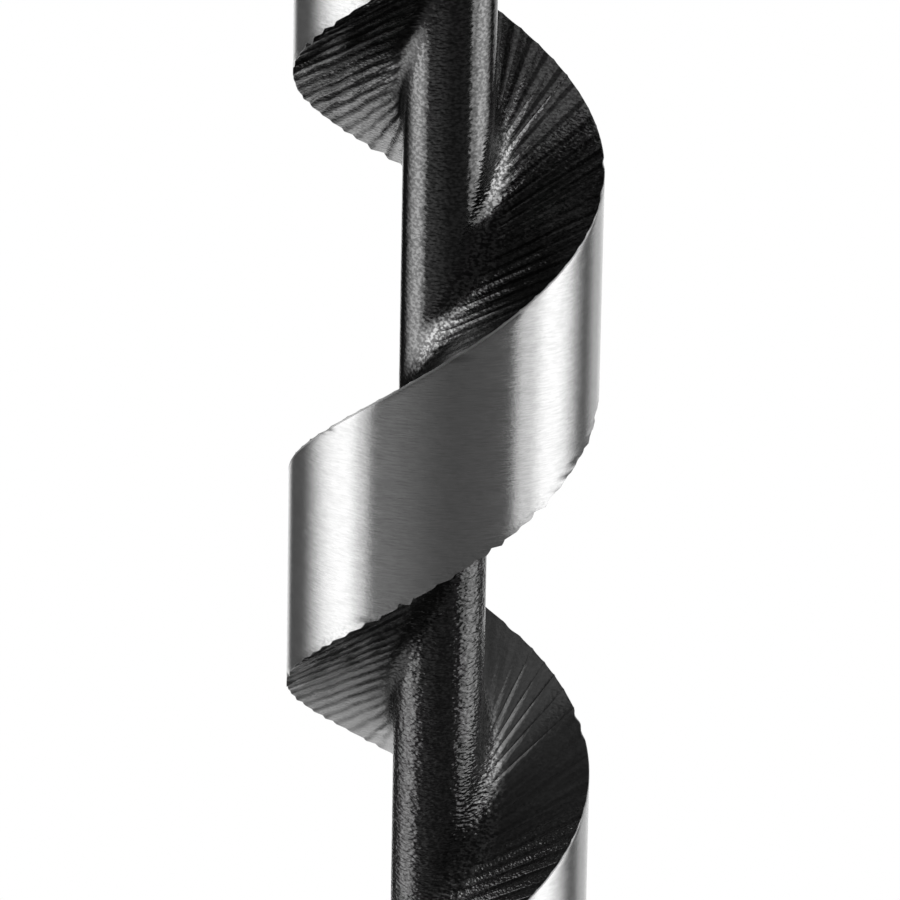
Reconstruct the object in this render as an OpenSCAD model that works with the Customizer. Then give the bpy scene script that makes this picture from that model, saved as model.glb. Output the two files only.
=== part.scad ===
// Auger bit: one milled flight on a solid core, a renewable screw point, lip and spur, and a hexagon shank.
// The axis is Z. The end of the shank is at z = 0 and the bit hangs below it, point down. Millimetres.

/* [Twist] */
// Cutting diameter over the ground land
bit_d = 20; // [19:0.5:22]
// Diameter of the solid core
core_d = 5.9; // [5.8:0.1:6.4]
// Rise of the flight in one turn
pitch = 40.8; // [38:0.2:44]
// Width of the land, measured along the axis
land_w = 14.6; // [14:0.2:15.6]
// Distance from the axis at which the straight milled lines of the flute pass it
cut_offset = 2.8; // [2.4:0.1:2.8]
// Slope of those milled lines, in degrees
cut_slope = 27.5; // [24:0.5:29]
// Length of the flight, from its lower end to the neck
twist_l = 100; // [90:1:160]
// Length over which the flute runs out into the neck
runout_l = 15; // [12:1:20]
// Direction of the flight's lower end round the axis, in degrees
lip_angle = 180; // [0:1:359]

/* [Shank] */
// Width of the hexagon across its flats
hex_af = 11; // [10.5:0.5:13]
// Length of the hexagon
hex_l = 42; // [36:1:60]
// Diameter of the round neck between the hexagon and the flight
neck_d = 9.6; // [9:0.1:10.2]
// Length of the neck
neck_l = 8; // [6:1:20]
// Bore of the hexagon, which takes the twist's stem
stem_bore_d = 7; // [6.5:0.1:7.4]
// Depth of that bore
stem_bore_l = 22; // [18:1:26]
// Diameter of the cross pin
pin_d = 2.5; // [2:0.1:3]

/* [Screw point] */
// Length of the tapered screw below the lip
point_l = 15.5; // [12:0.5:18]
// Largest diameter of its thread
point_d = 6.8; // [6.2:0.1:7.2]
// Pitch of its thread
point_pitch = 2.3; // [2:0.1:2.6]
// Diameter of the stub that sits in the core
stub_d = 3.6; // [3.2:0.1:3.8]
// Length of the stub
stub_l = 13; // [12:0.5:14]
// Diameter of the grub screw that locks the stub
lock_d = 3; // [2.5:0.5:3]

/* [Cutters] */
// Thickness of the lip cutter at its cutting edge
lip_t = 2.6; // [2.4:0.1:3]
// Clearance angle behind the cutting edge
relief = 6; // [4:1:7]
// Width of the spur
spur_w = 5; // [4:0.5:5.5]
// Thickness of the spur
spur_t = 1.8; // [1.6:0.1:2]
// How far the spur scores ahead of the lip
spur_reach = 1.8; // [1.2:0.1:2.2]
// Diameter of the two cutter screws
screw_d = 2.5; // [2:0.1:2.5]

/* [Hidden] */
$fn = 48;

// Clearances: round fits, faces that only meet, and an overshoot that keeps cuts clean
fit_gap = 0.02;
face_gap = 0.05;
over = 1;

// Levels along the axis
neck_top = -hex_l;
twist_top = neck_top - neck_l;
twist_foot = twist_top - twist_l;
lip_foot = twist_foot - lip_t;

// The flight: radii, rise per degree, and the land as an angle
bit_r = bit_d / 2;
core_r = core_d / 2;
neck_r = neck_d / 2;
rise = pitch / 360;
land_angle = land_w / rise;

// Mesh of the flight: points up a flute face, across the land and round the core, and the ring spacing
face_n = 6;
land_n = 11;
core_n = 12;
ring_step = 1.36;
face_spread = 1.7;

// The run-out ends round, in a radius that the neck swallows
runout_inset = 0.2;
runout_r = neck_r - runout_inset;
neck_overlap = 1;
stem_end_gap = 1;

// Direction of the lip's edge, which lies a little further round than the flight's lower end
edge_angle = lip_angle - lip_t / rise;

// The grub screw stands at mid thickness of the flight, a little way up from the lower end
lock_lag = 150;
lock_angle = lip_angle + lock_lag;
lock_z = twist_foot + lock_lag * rise - land_w / 2;
lock_sink = 1;
lock_socket_l = 1.6;
stub_r = stub_d / 2;
stub_end_gap = 0.5;
flat_depth = 0.5;
flat_r = stub_r - flat_depth;

// Form of the screw point: its shoulder, tip, taper, and the thread's height at the tip, flank and run-out
point_shoulder = 0.6;
point_root_r = core_r - point_shoulder;
point_tip_r = 0.15;
point_taper = 0.8;
crest_tip = 0.25;
thread_flank = 0.3;
point_runout = 1.4;
point_sides = 30;
rows_per_turn = 8;

// Places of the lip's screw and dowel, as an angle behind the flight's lower end and a radius
lip_screw_lag = 66;
lip_screw_r = 6.2;
lip_screw_l = 6;
lip_dowel_lag = 36;
lip_dowel_r = 6.8;
lip_dowel_d = 2;
lip_dowel_l = 3.2;
collar_gap = 0.25;
lip_bore_r = core_r + collar_gap;

// The spur's seat in the land, and its knife: width of the point, rake, edge and bevel
spur_lag = 108;
spur_angle = lip_angle + spur_lag;
spur_in = bit_r - spur_t;
spur_seat_l = 9;
spur_screw_z = twist_foot + spur_seat_l / 2;
spur_screw_l = 5.2;
spur_screw_sink = 0.35;
spur_point_w = 1.4;
spur_rake = 48;
spur_edge_w = 0.2;
spur_bevel = 26;

// Countersunk heads and sockets, and the room past the end of a screw
head_d = 4.5;
head_l = 1.2;
socket_af = 1.5;
socket_l = 0.9;
screw_end_gap = 0.3;

// Ends of the hexagon: how far the turned crown cuts in from the corners, and how far it drops there
corner_r = hex_af / 2 / cos(30);
end_cut = 1.8;
end_drop = 0.9;
heel_cut = 0.9;
heel_drop = 0.45;

// Cross pin: how far its ends stay inside the flats, and the width of its slot
pin_inset = 0.2;
pin_slot_w = 0.5;

// Distance along a milled line from the point nearest the axis out to radius r
function line_run(r) = sqrt(r * r - cut_offset * cut_offset);

// Angle from the rim to the upper flute face at radius r, in one level plane
function face_turn(r) =
    acos(cut_offset / r) - acos(cut_offset / bit_r)
    - tan(cut_slope) * (line_run(r) - line_run(bit_r)) / rise;

// Radii up a flute face, closer together near the core
function face_radius(i) = core_r + (bit_r - core_r) * pow(i / face_n, face_spread);

// Outline of the flight and core in one level plane, as radius and angle from the upper rim
function outline() = concat(
    [for (i = [0:face_n]) [face_radius(i), face_turn(face_radius(i))]],
    [for (i = [1:land_n - 1]) [bit_r, land_angle * i / land_n]],
    [for (i = [face_n:-1:0]) [face_radius(i), land_angle - face_turn(face_radius(i))]],
    let (from = land_angle - face_turn(core_r), to = 360 + face_turn(core_r))
        [for (i = [1:core_n - 1]) [core_r, from + (to - from) * i / core_n]]
);

// Smooth step from 0 to 1
function ease(t) = let (c = min(1, max(0, t))) c * c * (3 - 2 * c);

// How far the run-out has gone at height h above the flight's lower end
function runout(h) = ease((h - twist_l + runout_l) / runout_l);

// One ring of points at height h: the outline turned with the helix, and rounded off at the run-out
function ring(h) =
    let (shape = outline(), n = len(shape), t = runout(h))
    [for (i = [0:n - 1])
        let (r = shape[i][0] + (runout_r - shape[i][0]) * t)
        let (even = shape[0][1] + 360 * i / n)
        let (a = lip_angle + h / rise + shape[i][1] + (even - shape[i][1]) * t)
        [r * cos(a), r * sin(a), twist_foot + h]];

// Solid through rings of points, each listed counter-clockwise from above
module loft(rings) {
    n = len(rings[0]);
    last = len(rings) - 1;
    sides = [
        for (j = [0:last - 1], i = [0:n - 1])
            let (a = j * n + i, b = j * n + (i + 1) % n)
            each [[a, a + n, b + n], [a, b + n, b]]
    ];
    caps = [[for (i = [0:n - 1]) i], [for (i = [n - 1:-1:0]) last * n + i]];
    polyhedron([for (one = rings) each one], concat(sides, caps), convexity = 10);
}

// The milled flight and core between two heights
module flight(low, high) {
    steps = ceil((high - low) / ring_step);
    loft([for (j = [0:steps]) ring(low + (high - low) * j / steps)]);
}

// All the space below a level, for a square end
module all_below(z) {
    translate([-bit_d, -bit_d, z - 2 * bit_d]) cube(2 * bit_d);
}

// Places its children at a lag behind the flight's lower end, at a radius, on the seat of the lip
module on_seat(lag, r) {
    rotate(lip_angle + lag) translate([r, 0, twist_foot]) children();
}

// Places its children on a line that runs out from the axis, with +Z pointing outwards
module outwards(angle, z) {
    rotate(angle) translate([0, 0, z]) rotate([0, 90, 0]) children();
}

// Hexagon prism with flats facing +Y and -Y
module hexagon(af, l) {
    cylinder(d = af / cos(30), h = l, $fn = 6);
}

// Countersunk screw, head up at z = 0, shank down, made wider by gap for its hole
module countersunk(l, gap) {
    translate([0, 0, -l])
        cylinder(d = screw_d + 2 * gap, h = l);
    translate([0, 0, -head_l])
        cylinder(d1 = screw_d + 2 * gap, d2 = head_d + 2 * gap, h = head_l);
}

// A finished screw: the countersunk form with a hexagon socket
module socket_screw(l) {
    difference() {
        countersunk(l, 0);
        translate([0, 0, -socket_l])
            hexagon(socket_af, socket_l + over);
    }
}

// The lip screw's frame: head down, just inside the relieved face
module lip_screw_place() {
    head_z = -lip_t + tan(relief) * (lip_screw_r + head_d / 2);
    on_seat(lip_screw_lag, lip_screw_r) translate([0, 0, head_z]) rotate([180, 0, 0]) children();
}

// The spur screw's frame: head outwards, just under the land
module spur_screw_place() {
    outwards(spur_angle, spur_screw_z) translate([0, 0, bit_r - spur_screw_sink]) children();
}

// The spur's block in the land, grown by gap, from the level low up to the top of its seat, and longer
// on its trailing side by heel
module spur_block(low, gap, heel = 0) {
    top = twist_foot + spur_seat_l;
    rotate(spur_angle)
        translate([spur_in - gap, -spur_w / 2 - gap, low])
            cube([spur_t + over + 2 * gap, spur_w + heel + 2 * gap, top + gap - low]);
}

// Radial hole of the grub screw, from the stub's bore out through the land
module lock_hole(gap) {
    outwards(lock_angle, lock_z) cylinder(d = lock_d + 2 * gap, h = bit_r + over);
}

module lip_dowel_form(gap) {
    on_seat(lip_dowel_lag, lip_dowel_r)
        translate([0, 0, -lip_dowel_l / 2 - gap])
            cylinder(d = lip_dowel_d + 2 * gap, h = lip_dowel_l + 2 * gap);
}

module cross_pin_hole(gap) {
    translate([0, hex_af, neck_top + stem_bore_l / 2])
        rotate([90, 0, 0])
            cylinder(d = pin_d + 2 * gap, h = 2 * hex_af);
}

// Core and flight in one, with the neck and the stem that the shank takes
module twist_body() {
    color("dimgray")
        difference() {
            union() {
                flight(-over, twist_l + neck_overlap);
                translate([0, 0, twist_top])
                    cylinder(r = neck_r, h = neck_l);
                translate([0, 0, neck_top - over])
                    cylinder(d = stem_bore_d - 2 * fit_gap, h = stem_bore_l + over - stem_end_gap);
            }
            all_below(twist_foot);
            translate([0, 0, twist_foot - over])
                cylinder(d = stub_d + 2 * fit_gap, h = stub_l + over + stub_end_gap);
            lock_hole(fit_gap);
            spur_block(twist_foot - over, face_gap);
            spur_screw_place()
                countersunk(spur_screw_l + screw_end_gap, fit_gap);
            lip_screw_place()
                countersunk(lip_screw_l + screw_end_gap, fit_gap);
            lip_dowel_form(fit_gap);
            cross_pin_hole(fit_gap);
        }
}

// Radius of the screw point's surface at a height above its tip and an angle: a slim cone and a thread
// that grows with it and runs out just under the collar
function point_radius(h, a) =
    let (grow = pow(min(1, h / point_l), point_taper))
    let (root = point_tip_r + (point_root_r - point_tip_r) * grow)
    let (full = crest_tip + (1 - crest_tip) * grow)
    let (crest = (point_d / 2 - point_root_r) * full * ease((point_l - h) / point_runout))
    let (t = h / point_pitch - a / 360)
    let (phase = t - floor(t))
    root + crest * max(0, 1 - abs(phase - 0.5) / thread_flank);

// Tapered lead screw, its collar inside the lip cutter, and its flatted stub in the core
module screw_point() {
    rows = ceil(point_l / point_pitch * rows_per_turn);
    tip = lip_foot - point_l;
    color("lightgray")
        union() {
            loft([
                for (j = [0:rows])
                    let (h = (point_l + over) * j / rows)
                    [for (i = [0:point_sides - 1])
                        let (a = 360 * i / point_sides, r = point_radius(h, a))
                        [r * cos(a), r * sin(a), tip + h]]
            ]);
            translate([0, 0, lip_foot])
                cylinder(r = core_r, h = lip_t - face_gap);
            difference() {
                translate([0, 0, twist_foot - over])
                    cylinder(r = stub_r, h = stub_l + over);
                rotate(lock_angle)
                    translate([flat_r, -stub_d, lock_z - lock_d])
                        cube([stub_d, 2 * stub_d, stub_l + lock_d]);
            }
        }
}

// Grub screw with a cone tip cut flat, sunk below the land
module point_lock_screw() {
    l = bit_r - lock_sink - flat_r - face_gap;
    tip_l = 0.6;
    color("black")
        outwards(lock_angle, lock_z)
            translate([0, 0, flat_r + face_gap])
                difference() {
                    union() {
                        cylinder(d1 = lock_d - 2 * tip_l, d2 = lock_d, h = tip_l);
                        translate([0, 0, tip_l])
                            cylinder(d = lock_d, h = l - tip_l);
                    }
                    translate([0, 0, l - lock_socket_l])
                        hexagon(socket_af, lock_socket_l + over);
                }
}

// Cutter plate that carries the flight's form on down to a relieved cutting edge
module lip_cutter() {
    color("silver")
        difference() {
            intersection() {
                flight(-lip_t - over, over);
                translate([0, 0, lip_foot])
                    cylinder(r = bit_d, h = lip_t);
            }
            translate([0, 0, lip_foot])
                rotate(edge_angle)
                    rotate([relief, 0, 0])
                        all_below(0);
            translate([0, 0, lip_foot - over])
                cylinder(r = lip_bore_r, h = lip_t + 2 * over);
            spur_block(lip_foot - over, face_gap, spur_w);
            lip_screw_place()
                countersunk(lip_screw_l, fit_gap);
            lip_screw_place()
                cylinder(d = head_d + 2 * fit_gap, h = over);
            lip_dowel_form(fit_gap);
        }
}

module lip_screw() {
    color("black") lip_screw_place() socket_screw(lip_screw_l);
}

module lip_dowel() {
    color("silver") lip_dowel_form(0);
}

// Knife that follows the land, with a bevelled point that scores ahead of the lip
module spur_cutter() {
    foot = lip_foot - spur_reach;
    color("silver")
        difference() {
            intersection() {
                spur_block(foot, 0);
                translate([0, 0, foot])
                    cylinder(r = bit_r, h = spur_reach + lip_t + spur_seat_l);
            }
            rotate(spur_angle)
                translate([spur_in - over, -spur_w / 2 + spur_point_w, foot - over])
                    rotate([spur_rake, 0, 0])
                        translate([0, 0, -2 * spur_w])
                            cube([spur_t + 2 * over, 3 * spur_w, 2 * spur_w]);
            rotate(spur_angle)
                translate([bit_r - spur_edge_w, 0, foot])
                    rotate([0, -spur_bevel, 0])
                        translate([-spur_w, -spur_w, -over])
                            cube([spur_w, 2 * spur_w, spur_w]);
            spur_screw_place()
                countersunk(spur_screw_l, fit_gap);
            spur_screw_place()
                cylinder(d = head_d + 2 * fit_gap, h = over);
        }
}

module spur_screw() {
    color("black") spur_screw_place() socket_screw(spur_screw_l);
}

// What a turned crown takes off a hexagon whose end is at z = 0: all outside a ball that meets the end at a
// cut in from the corners and has dropped a little where it reaches them
module crown_waste(cut, drop) {
    end_r = corner_r - cut;
    centre = (corner_r * corner_r - end_r * end_r + drop * drop) / (2 * drop);
    difference() {
        translate([0, 0, -2 * drop])
            cylinder(r = hex_af, h = 2 * drop + over);
        translate([0, 0, -centre])
            sphere(r = sqrt(end_r * end_r + centre * centre), $fn = 96);
    }
}

// Hexagon with crowned ends, bored for the stem and drilled for the pin
module drive_shank() {
    color("gray")
        difference() {
            translate([0, 0, neck_top])
                hexagon(hex_af, hex_l);
            crown_waste(end_cut, end_drop);
            translate([0, 0, neck_top])
                rotate([180, 0, 0])
                    crown_waste(heel_cut, heel_drop);
            translate([0, 0, neck_top - over])
                cylinder(d = stem_bore_d, h = stem_bore_l + over);
            cross_pin_hole(fit_gap);
        }
}

// Slotted spring pin, a little shorter than the hexagon is wide
module shank_cross_pin() {
    l = hex_af - 2 * pin_inset;
    color("dimgray")
        translate([0, l / 2, neck_top + stem_bore_l / 2])
            rotate([90, 0, 0])
                difference() {
                    cylinder(d = pin_d, h = l);
                    translate([0, 0, -over])
                        cylinder(d = pin_d / 2, h = l + 2 * over);
                    translate([0, -pin_slot_w / 2, -over])
                        cube([pin_d, pin_slot_w, l + 2 * over]);
                }
}

twist_body();
screw_point();
point_lock_screw();
lip_cutter();
lip_screw();
lip_dowel();
spur_cutter();
spur_screw();
drive_shank();
shank_cross_pin();
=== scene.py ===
# %% [markdown]
# # An auger bit in a studio close-up
# An auger bit bores deep holes in timber. One thick flight winds round a solid core and lifts the chips,
# a screw point draws the bit in, a lip planes the chip, and a spur scores the wall of the hole.
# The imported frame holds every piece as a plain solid, at its real size and in its place. This lesson keeps
# those places, gives each piece a finer mesh and a finish, and lights them the way a macro photo is lit.

import math
from types import SimpleNamespace

import bpy
import numpy as np
from mathutils import Matrix, Vector


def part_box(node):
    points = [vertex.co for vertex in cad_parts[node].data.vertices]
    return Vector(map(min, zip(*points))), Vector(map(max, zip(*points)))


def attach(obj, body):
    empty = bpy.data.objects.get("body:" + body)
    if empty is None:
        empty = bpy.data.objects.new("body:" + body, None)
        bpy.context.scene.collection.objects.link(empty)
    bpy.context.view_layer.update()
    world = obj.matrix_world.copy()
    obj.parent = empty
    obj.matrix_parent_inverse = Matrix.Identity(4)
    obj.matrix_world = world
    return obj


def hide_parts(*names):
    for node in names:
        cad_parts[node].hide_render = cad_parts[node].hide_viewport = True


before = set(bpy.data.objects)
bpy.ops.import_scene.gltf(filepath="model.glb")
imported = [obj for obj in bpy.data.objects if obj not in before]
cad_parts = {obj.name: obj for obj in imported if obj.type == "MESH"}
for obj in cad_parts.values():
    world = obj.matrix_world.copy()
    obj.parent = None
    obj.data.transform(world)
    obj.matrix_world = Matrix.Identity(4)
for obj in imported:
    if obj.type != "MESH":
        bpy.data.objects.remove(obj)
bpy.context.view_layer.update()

# %% [markdown]
# ## Sizes
# Lengths are written in millimetres, because that is how a tool is drawn, and become metres only when a mesh
# is made. The levels along the axis come from the frame's own boxes. The flight's form can't be read from
# a box, so its few driving sizes are named here.

# %% Levels along the axis
MM = 0.001


def level(node, end):
    """Height of a node's lower end (0) or upper end (1), in millimetres."""
    return round(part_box(node)[end].z / MM, 2)


tip_z = level("screw_point", 0)
twist_foot = level("lip_cutter", 1)
neck_top = level("drive_shank", 0)
shank_top = level("drive_shank", 1)
print("tip", tip_z, "foot of the flight", twist_foot, "neck", neck_top, "shank", shank_top)

# %% Form of the flight
bit_r = 10.0
core_r = 2.95
pitch = 40.8
land_w = 14.6
twist_l = 100.0
neck_r = 4.8
neck_step = 0.2
runout_l = 15.0
runout_r = neck_r - neck_step
cut_offset = 2.8
cut_angle = 27.5
cut_slope = math.tan(math.radians(cut_angle))
lip_turn = math.radians(180)
rise = pitch / (2 * math.pi)
land_turn = land_w / rise
twist_top = twist_foot + twist_l
print("land of", round(math.degrees(land_turn), 1), "degrees, neck from", twist_top)

# %% [markdown]
# ## Shader maths
# A material in Blender is a web of nodes. Wiring each Math node by hand hides the thought behind it, so one
# small class wraps a socket and turns ordinary arithmetic into nodes. A second class holds the node tree,
# and its one method makes every other kind of node: type first, then settings, then sockets.


# %% A socket that does arithmetic
class Wire:
    """An output socket. Arithmetic on it adds Math nodes to its sheet."""

    def __init__(self, sheet, socket):
        self.sheet = sheet
        self.socket = socket

    def math(self, operation, *others):
        return self.sheet.math(operation, self, *others)

    def __add__(self, other):
        return self.math("ADD", other)

    def __radd__(self, other):
        return self.sheet.math("ADD", other, self)

    def __sub__(self, other):
        return self.math("SUBTRACT", other)

    def __rsub__(self, other):
        return self.sheet.math("SUBTRACT", other, self)

    def __mul__(self, other):
        return self.math("MULTIPLY", other)

    def __rmul__(self, other):
        return self.sheet.math("MULTIPLY", other, self)


print("sockets now take + - and *")


# %% A sheet of nodes
class Sheet:
    """A node tree that is written as expressions."""

    def __init__(self, tree):
        tree.nodes.clear()
        self.tree = tree

    def node(self, kind, settings=None, sockets=None, out=0):
        """Makes one node, sets it up, fills its sockets, and gives back one of its outputs."""
        made = self.tree.nodes.new(kind)
        for name, value in (settings or {}).items():
            setattr(made, name, value)
        for name, value in (sockets or {}).items():
            if isinstance(value, Wire):
                self.tree.links.new(value.socket, made.inputs[name])
            else:
                made.inputs[name].default_value = value
        return Wire(self, made.outputs[out]) if made.outputs else made

    def math(self, operation, *values):
        return self.node("ShaderNodeMath", {"operation": operation}, dict(enumerate(values)))

    def parts(self, vector):
        """The three numbers of a vector."""
        return [self.node("ShaderNodeSeparateXYZ", None, {0: vector}, out) for out in range(3)]

    def radius(self, place):
        """Distance from the Z axis."""
        x, y, _ = self.parts(place)
        return (x * x + y * y).math("SQRT")

    def vector(self, x, y, z):
        return self.node("ShaderNodeCombineXYZ", None, {0: x, 1: y, 2: z})

    def scaled(self, vector, sizes):
        """A vector divided by a size along each axis."""
        return self.node("ShaderNodeVectorMath", {"operation": "DIVIDE"}, {0: vector, 1: sizes})

    def ramp(self, value, start, end):
        """0 up to start, 1 past end, and smooth between them. End may lie on either side of start."""
        sockets = {"Value": value, "From Min": start, "From Max": end}
        return self.node("ShaderNodeMapRange", {"interpolation_type": "SMOOTHSTEP"}, sockets)

    def fade(self, value, span, loss=1.0):
        """1 before a span, and less by loss past it."""
        return 1 - loss * self.ramp(value, *span)

    def window(self, value, low, high, soft):
        """1 from low to high, with edges that are soft wide."""
        return self.ramp(value, low - soft, low) * self.fade(value, (high, high + soft))

    def grain(self, place, sizes, detail=2.0, roughness=0.5):
        """A noise from 0 to 1, with the size of one grain along each axis."""
        fitted = self.scaled(place, sizes)
        sockets = {"Vector": fitted, "Scale": 1.0, "Detail": detail, "Roughness": roughness}
        return self.node("ShaderNodeTexNoise", None, sockets)

    def blend(self, mask, first, second):
        """A colour that goes from first to second. Sockets 6, 7 and 2 are the node's colour ones."""
        return self.node("ShaderNodeMix", {"data_type": "RGBA"}, {0: mask, 6: first, 7: second}, out=2)


print("a sheet writes nodes")

# %% [markdown]
# ## Camera
# The photo is a macro shot from a little above, so the camera stands in front of the bit and looks down on
# it. The angle, the distance and the lens were fitted to the rims of the flight, which are true helices.
# A long lens keeps the land's edges almost parallel, and a small roll leans the axis as the photo does.

# %% Place the camera
view_height = math.radians(16.545)
view_roll = math.radians(-1.058)
view_distance = 392.43
view_target = Vector((0.435, 0.0, -107.691))
nearest_seen = 10.0
lens_mm = 242.42
sensor_mm = 36.0


def set_camera():
    """Camera in front of the bit (at -Y), raised and rolled."""
    back = Vector((0, -math.cos(view_height), math.sin(view_height)))
    level_up = Vector((0, math.sin(view_height), math.cos(view_height)))
    level_right = Vector((1, 0, 0))
    right = level_right * math.cos(view_roll) - level_up * math.sin(view_roll)
    up = level_right * math.sin(view_roll) + level_up * math.cos(view_roll)
    data = bpy.data.cameras.new("macro_lens")
    data.lens = lens_mm
    data.sensor_width = sensor_mm
    data.clip_start = nearest_seen * MM
    camera = bpy.data.objects.new("macro_camera", data)
    place = (view_target + back * view_distance) * MM
    camera.matrix_world = Matrix.Translation(place) @ Matrix((right, up, back)).transposed().to_4x4()
    bpy.context.scene.collection.objects.link(camera)
    bpy.context.scene.camera = camera
    return camera


camera = set_camera()
bpy.context.scene.view_settings.view_transform = "Standard"
print("camera at", [round(v, 3) for v in camera.location])

# %% [markdown]
# ## Light
# Polished steel shows the room more than itself. A studio for metal is therefore a ring of bright panels and
# dark gaps: the land's two white bands are panels at the sides, and its grey middle is the dark front. Each
# panel is a lamp behind a diffuser. Towards the front it has a clear edge and a dimmer shoulder, then comes
# its bright middle, and its far side is soft.
# Area lamps could do that, but a world that is written by direction gives every band its exact place and
# also lights the far sides. What the camera sees behind the bit is plain white.
# Directions are in degrees: azimuth from the camera's side, right positive, and height above the level.
# A pair says where a change begins and where it ends.

# %% Panels at the sides
panel_level = 1.65
edge_soft = 4
middle_soft = 12
panel_foot = (-25, -52)
panel_foot_loss = 0.93
left_panel = dict(edge=59, bright=74, dim=0.42, far_side=(84, 129), top=(4, 36), top_loss=1.0)
right_panel = dict(edge=57, bright=80, dim=0.52, far_side=(90, 125), top=(14, 40), top_loss=0.92)


def panel(sheet, side, height, edge, bright, dim, far_side, top, top_loss):
    """One panel, by the angle from the front towards its side."""
    shoulder = sheet.ramp(side, edge - edge_soft, edge)
    middle = sheet.ramp(side, bright - middle_soft, bright)
    lit = dim * shoulder + (1 - dim) * middle
    return lit * sheet.fade(side, far_side) * panel_level * sheet.fade(height, top, top_loss)


def panels(sheet, azimuth, height):
    left = panel(sheet, 0 - azimuth, height, **left_panel)
    right = panel(sheet, azimuth, height, **right_panel)
    return (left + right) * sheet.fade(height, panel_foot, panel_foot_loss)


print("panels from", left_panel["edge"], "and", right_panel["edge"], "degrees")

# %% Backdrop and table
wall_level = 0.5
wall_start = (128, 146)
wall_foot = (-33, -64)
wall_foot_loss = 0.85
backdrop_level = 0.95
backdrop_right = (152, 172)
backdrop_left = (-152, -168)
backdrop_foot = (-50, -75)
backdrop_foot_loss = 0.35
backdrop_top = (5, 40)
backdrop_top_loss = 0.65
table_level = 0.9
table_start = (-92, -150)
table_end = (-150, -168)
table_height = (-28, -52)


def backdrop(sheet, azimuth, height):
    """The pale cloth behind the bit, with a grey wall on its right."""
    wall = sheet.ramp(azimuth, *wall_start) * wall_level
    wall = wall + sheet.ramp(azimuth, *backdrop_right) * (backdrop_level - wall_level)
    wall = wall * sheet.fade(height, wall_foot, wall_foot_loss)
    cloth = sheet.ramp(azimuth, *backdrop_left) * backdrop_level
    cloth = cloth * sheet.fade(height, backdrop_foot, backdrop_foot_loss)
    return (wall + cloth) * sheet.fade(height, backdrop_top, backdrop_top_loss)


def table(sheet, azimuth, height):
    """The pale table top, low on the left."""
    span = sheet.ramp(azimuth, *table_start) * sheet.fade(azimuth, table_end)
    return span * sheet.ramp(height, *table_height) * table_level


print("backdrop at", backdrop_level, "and table at", table_level)

# %% Ceiling and front
ceiling_level = 0.2
ceiling_height = (40, 65)
ceiling_span = (70, 125)
ceiling_soft = 40
lamp_level = 0.06
lamp_height = (60, 85)
front_level = 0.15
front_drop = 0.12
front_turn = (-44, 10)
front_height = (-30, -13)
front_span = (-62, 52)
front_soft = 8
haze_level = 0.012
haze_height = (-48, 10)
haze_soft = 10


def ceiling(sheet, azimuth, height):
    """A dim ceiling on the right, and a weak lamp overhead."""
    high = sheet.ramp(height, *ceiling_height) * sheet.window(azimuth, *ceiling_span, ceiling_soft)
    return high * ceiling_level + sheet.ramp(height, *lamp_height) * lamp_level


def front(sheet, azimuth, height):
    """The dark room on the camera's side, a little lighter low on the left."""
    low = front_level - front_drop * sheet.ramp(azimuth, *front_turn)
    low = low * sheet.window(height, *front_height, front_soft)
    low = low + haze_level * sheet.window(height, *haze_height, haze_soft)
    return low * sheet.window(azimuth, *front_span, front_soft)


print("ceiling at", ceiling_level, "and front at", front_level)

# %% Studio world
room_level = 0.018


def studio_level(sheet):
    """Brightness of the studio by direction."""
    x, y, z = sheet.parts(sheet.node("ShaderNodeTexCoord", out="Generated"))
    azimuth = sheet.math("ARCTAN2", x, 0 - y) * math.degrees(1)
    height = z.math("ARCSINE") * math.degrees(1)
    surfaces = (panels, backdrop, table, ceiling, front)
    return sum(surface(sheet, azimuth, height) for surface in surfaces) + room_level


def set_world():
    world = bpy.data.worlds.new("studio")
    world.use_nodes = True
    sheet = Sheet(world.node_tree)
    seen = sheet.node("ShaderNodeLightPath", out="Is Camera Ray")
    light = studio_level(sheet) * (1 - seen) + seen
    background = sheet.node("ShaderNodeBackground", None, {"Color": light})
    sheet.node("ShaderNodeOutputWorld", None, {"Surface": background})
    bpy.context.scene.world = world


set_world()
print("studio with panels at", panel_level)

# %% [markdown]
# ## Mesh helpers
# Three makers cover a tool like this: a loft through rings of points, a turned profile, and a prism. Solids
# are then joined and cut with each other, as they are on the machine. Every mesh stays closed, because a
# boolean needs an inside and an outside.


# %% Lofts, turnings and prisms
def new_piece(name, points, faces):
    """An object from points in millimetres and faces of point numbers."""
    mesh = bpy.data.meshes.new(name)
    mesh.from_pydata((np.asarray(points) * MM).tolist(), [], faces)
    mesh.update()
    piece = bpy.data.objects.new(name, mesh)
    bpy.context.scene.collection.objects.link(piece)
    return piece


def loft(name, rings):
    """A closed solid through rings, an array of [ring, point, xyz], counter-clockwise seen from above."""
    grid = np.arange(rings.shape[0] * rings.shape[1]).reshape(rings.shape[:2])
    low = grid[:-1]
    high = grid[1:]
    sides = np.stack([low, np.roll(low, -1, 1), np.roll(high, -1, 1), high], -1).reshape(-1, 4)
    ends = [grid[0, ::-1].tolist(), grid[-1].tolist()]
    return new_piece(name, rings.reshape(-1, 3), sides.tolist() + ends)


def turned(name, profile, sides=64):
    """A solid turned about Z from (radius, height) points, listed from the bottom up."""
    turn = np.linspace(0, 2 * math.pi, sides, endpoint=False)
    rings = [np.stack([r * np.cos(turn), r * np.sin(turn), 0 * turn + z], -1) for r, z in profile]
    return loft(name, np.array(rings))


def prism(name, outline, low, high):
    """A straight prism on an outline of (x, y) points."""
    flat = np.asarray(outline, float)
    rings = [np.column_stack([flat, np.full(len(flat), z)]) for z in (low, high)]
    return loft(name, np.array(rings))


def box(name, low, high):
    """A plain block between two corners, used as a cutter."""
    outline = [(low[0], low[1]), (high[0], low[1]), (high[0], high[1]), (low[0], high[1])]
    return prism(name, outline, low[2], high[2])


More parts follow.
